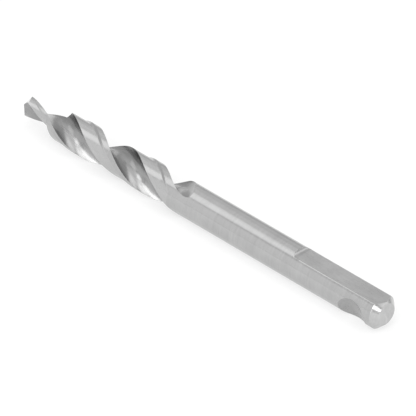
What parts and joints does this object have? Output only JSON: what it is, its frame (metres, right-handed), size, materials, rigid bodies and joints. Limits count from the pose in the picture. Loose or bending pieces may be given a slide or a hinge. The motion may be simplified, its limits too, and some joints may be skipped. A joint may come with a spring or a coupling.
{
  "type": "pilot drill bit",
  "caption": "Stepped pilot drill for a hole saw arbor: right-hand helical flutes, a narrower split nose, a plain round shank with a set screw flat and a ball retaining notch.",
  "frame": {"origin": "centre of the shank's flat end face, on the drill's axis", "axes": "+X along the axis, pointing out of the shank's end and away from the cutting tip, which lies at about x = -0.0873 m; +Z out of the set screw flat; the drill lies on its side"},
  "size_m": [0.0875, 0.0064, 0.0064],
  "materials": {
    "ground_steel": "satin ground tool steel, with polished flutes"
  },
  "bodies": {
    "root": {"pilot_drill": "ground_steel"}
  },
  "joints": []
}
